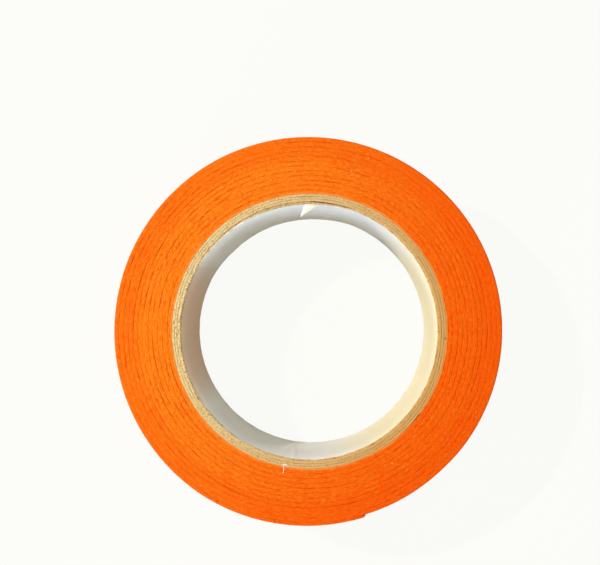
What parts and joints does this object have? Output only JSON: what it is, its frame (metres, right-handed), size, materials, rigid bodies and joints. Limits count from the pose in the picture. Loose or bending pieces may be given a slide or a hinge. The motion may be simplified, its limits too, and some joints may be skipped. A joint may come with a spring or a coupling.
{
  "type": "grip tape roll",
  "caption": "Roll of felt-faced grip tape wound on a laminated paper core, with a free end that peels off the rim.",
  "frame": {"origin": "centre of the lower side face, on the roll's axis, with the roll lying flat", "axes": "+Z along the roll's axis towards the upper side face; the strip winds outwards counter-clockwise about +Z and ends at 287 degrees from +X"},
  "size_m": [0.0574, 0.0575, 0.025],
  "materials": {
    "liner_paper": "matt",
    "kraft_board": "matt, cut edge",
    "tape_felt": "felt-like, matt"
  },
  "bodies": {
    "roll": {"core_liner": "liner_paper", "core_ply_1": "kraft_board", "core_ply_2": "kraft_board", "core_ply_3": "kraft_board", "tape_windings": "tape_felt"},
    "end_1": {"tape_end_1": "tape_felt"},
    "end_2": {"tape_end_2": "tape_felt"},
    "end_3": {"tape_end_3": "tape_felt"},
    "end_4": {"tape_end_4": "tape_felt"},
    "end_5": {"tape_end_5": "tape_felt"},
    "end_6": {"tape_end_6": "tape_felt"}
  },
  "joints": [
    {"name": "peel_1", "type": "hinge", "parent": "roll", "child": "end_1", "pos_m": [-0.02895, 0.00051, 0], "axis": [0, 0, -1], "range_deg": [0, 20]},
    {"name": "peel_2", "type": "hinge", "parent": "end_1", "child": "end_2", "pos_m": [-0.02769, -0.00846, 0], "axis": [0, 0, -1], "range_deg": [0, 20]},
    {"name": "peel_3", "type": "hinge", "parent": "end_2", "child": "end_3", "pos_m": [-0.02371, -0.01661, 0], "axis": [0, 0, -1], "range_deg": [0, 20]},
    {"name": "peel_4", "type": "hinge", "parent": "end_3", "child": "end_4", "pos_m": [-0.01742, -0.02312, 0], "axis": [0, 0, -1], "range_deg": [0, 20]},
    {"name": "peel_5", "type": "hinge", "parent": "end_4", "child": "end_5", "pos_m": [-0.00939, -0.02727, 0], "axis": [0, 0, -1], "range_deg": [0, 20]},
    {"name": "peel_6", "type": "hinge", "parent": "end_5", "child": "end_6", "pos_m": [-0.0005, -0.02869, 0], "axis": [0, 0, -1], "range_deg": [0, 20]}
  ],
  "couplings": [
    {"joint": "peel_2", "follows": "peel_1", "ratio": 1},
    {"joint": "peel_3", "follows": "peel_1", "ratio": 1},
    {"joint": "peel_4", "follows": "peel_1", "ratio": 1},
    {"joint": "peel_5", "follows": "peel_1", "ratio": 1},
    {"joint": "peel_6", "follows": "peel_1", "ratio": 1}
  ]
}
